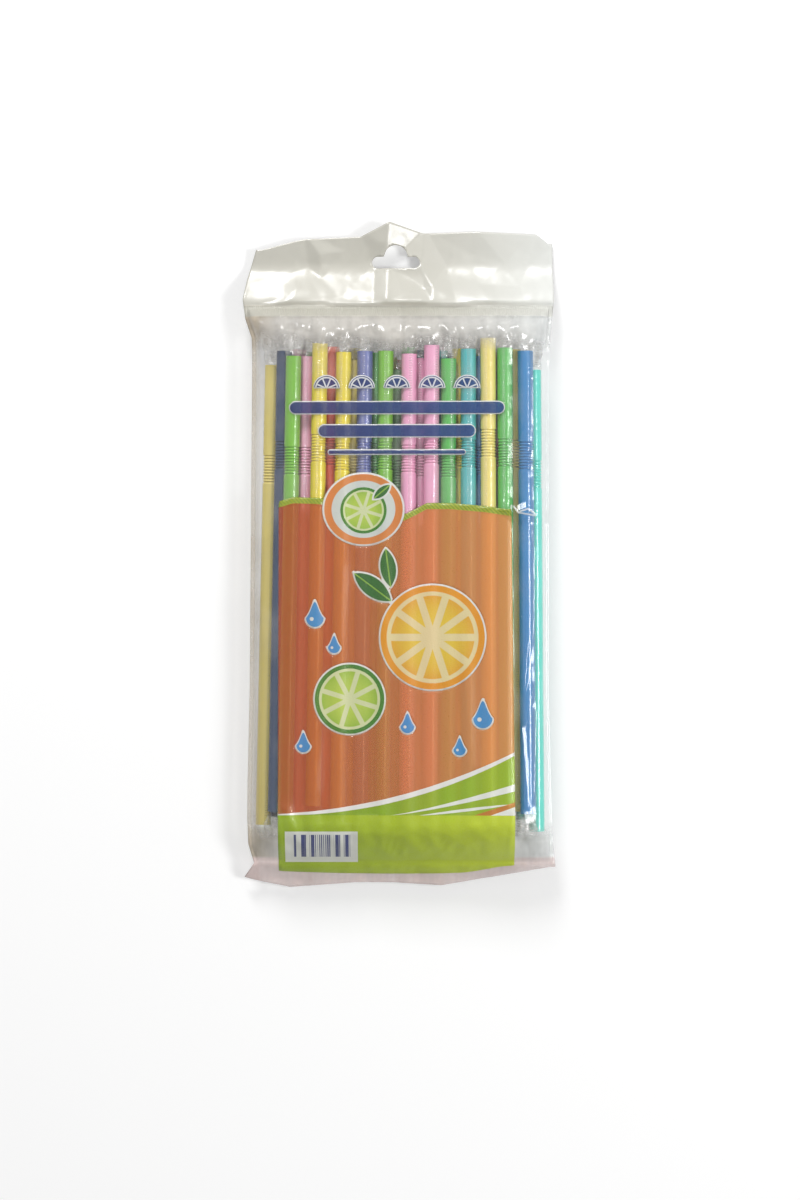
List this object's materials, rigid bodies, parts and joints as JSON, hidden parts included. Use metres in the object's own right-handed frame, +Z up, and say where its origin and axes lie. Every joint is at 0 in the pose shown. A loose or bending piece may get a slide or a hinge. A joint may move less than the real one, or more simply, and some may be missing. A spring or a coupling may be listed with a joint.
{
  "type": "pack of wrapped drinking straws",
  "caption": "Clear header bag lying flat, packed with bendy straws that are each wrapped in film, with a printed front panel and a hang slot.",
  "frame": {"origin": "centre of the bag's outline, on the surface that the bag's back lies on", "axes": "+X across the bag with its front up and its header away, +Y from the foot to the header, +Z up from the surface"},
  "size_m": [0.1632, 0.3466, 0.0318],
  "materials": {
    "straw_lime": "moulded, glossy, slightly translucent",
    "straw_yellow": "moulded, glossy, slightly translucent",
    "straw_cream": "moulded, glossy, slightly translucent",
    "straw_blue": "moulded, glossy, slightly translucent",
    "straw_navy": "moulded, glossy, slightly translucent",
    "straw_lavender": "moulded, glossy, slightly translucent",
    "straw_leaf": "moulded, glossy, slightly translucent",
    "straw_sage": "moulded, glossy, slightly translucent",
    "straw_pink": "moulded, glossy, slightly translucent",
    "straw_coral": "moulded, glossy, slightly translucent",
    "straw_teal": "moulded, glossy, slightly translucent",
    "straw_aqua": "moulded, glossy, slightly translucent",
    "sleeve_film": "thin clear film, glossy and creased",
    "bag_film": "clear film, glossy and creased, milky where it is doubled",
    "ink_orange": "ink under gloss film",
    "ink_green": "ink under gloss film",
    "ink_white": "ink under gloss film",
    "ink_blue": "ink under gloss film"
  },
  "bodies": {
    "root": {"straw_01": "straw_navy", "straw_02": "straw_lime", "straw_03": "straw_pink", "straw_04": "straw_yellow", "straw_05": "straw_teal", "straw_06": "straw_coral", "straw_07": "straw_blue", "straw_08": "straw_cream", "straw_09": "straw_leaf", "straw_10": "straw_aqua", "straw_11": "straw_pink", "straw_12": "straw_blue", "straw_13": "straw_cream", "straw_14": "straw_pink", "straw_15": "straw_coral", "straw_16": "straw_lime", "straw_17": "straw_blue", "straw_18": "straw_yellow", "straw_19": "straw_leaf", "straw_20": "straw_pink", "straw_21": "straw_navy", "straw_22": "straw_lime", "straw_23": "straw_yellow", "straw_24": "straw_teal", "straw_25": "straw_aqua", "straw_26": "straw_navy", "straw_27": "straw_pink", "straw_28": "straw_coral", "straw_29": "straw_cream", "straw_30": "straw_leaf", "straw_31": "straw_sage", "straw_32": "straw_pink", "straw_33": "straw_teal", "straw_34": "straw_yellow", "straw_35": "straw_blue", "straw_36": "straw_pink", "straw_37": "straw_cream", "straw_38": "straw_aqua", "straw_39": "straw_lime", "straw_40": "straw_yellow", "straw_41": "straw_yellow", "straw_42": "straw_lavender", "straw_43": "straw_lime", "straw_44": "straw_pink", "straw_45": "straw_pink", "straw_46": "straw_leaf", "straw_47": "straw_teal", "straw_48": "straw_cream", "straw_49": "straw_leaf", "straw_50": "straw_blue", "sleeves_row_1": "sleeve_film", "sleeves_row_2": "sleeve_film", "sleeves_row_3": "sleeve_film", "sleeves_row_4": "sleeve_film", "bag": "bag_film", "print_orange": "ink_orange", "print_green": "ink_green", "print_white": "ink_white", "print_blue": "ink_blue"}
  },
  "joints": []
}
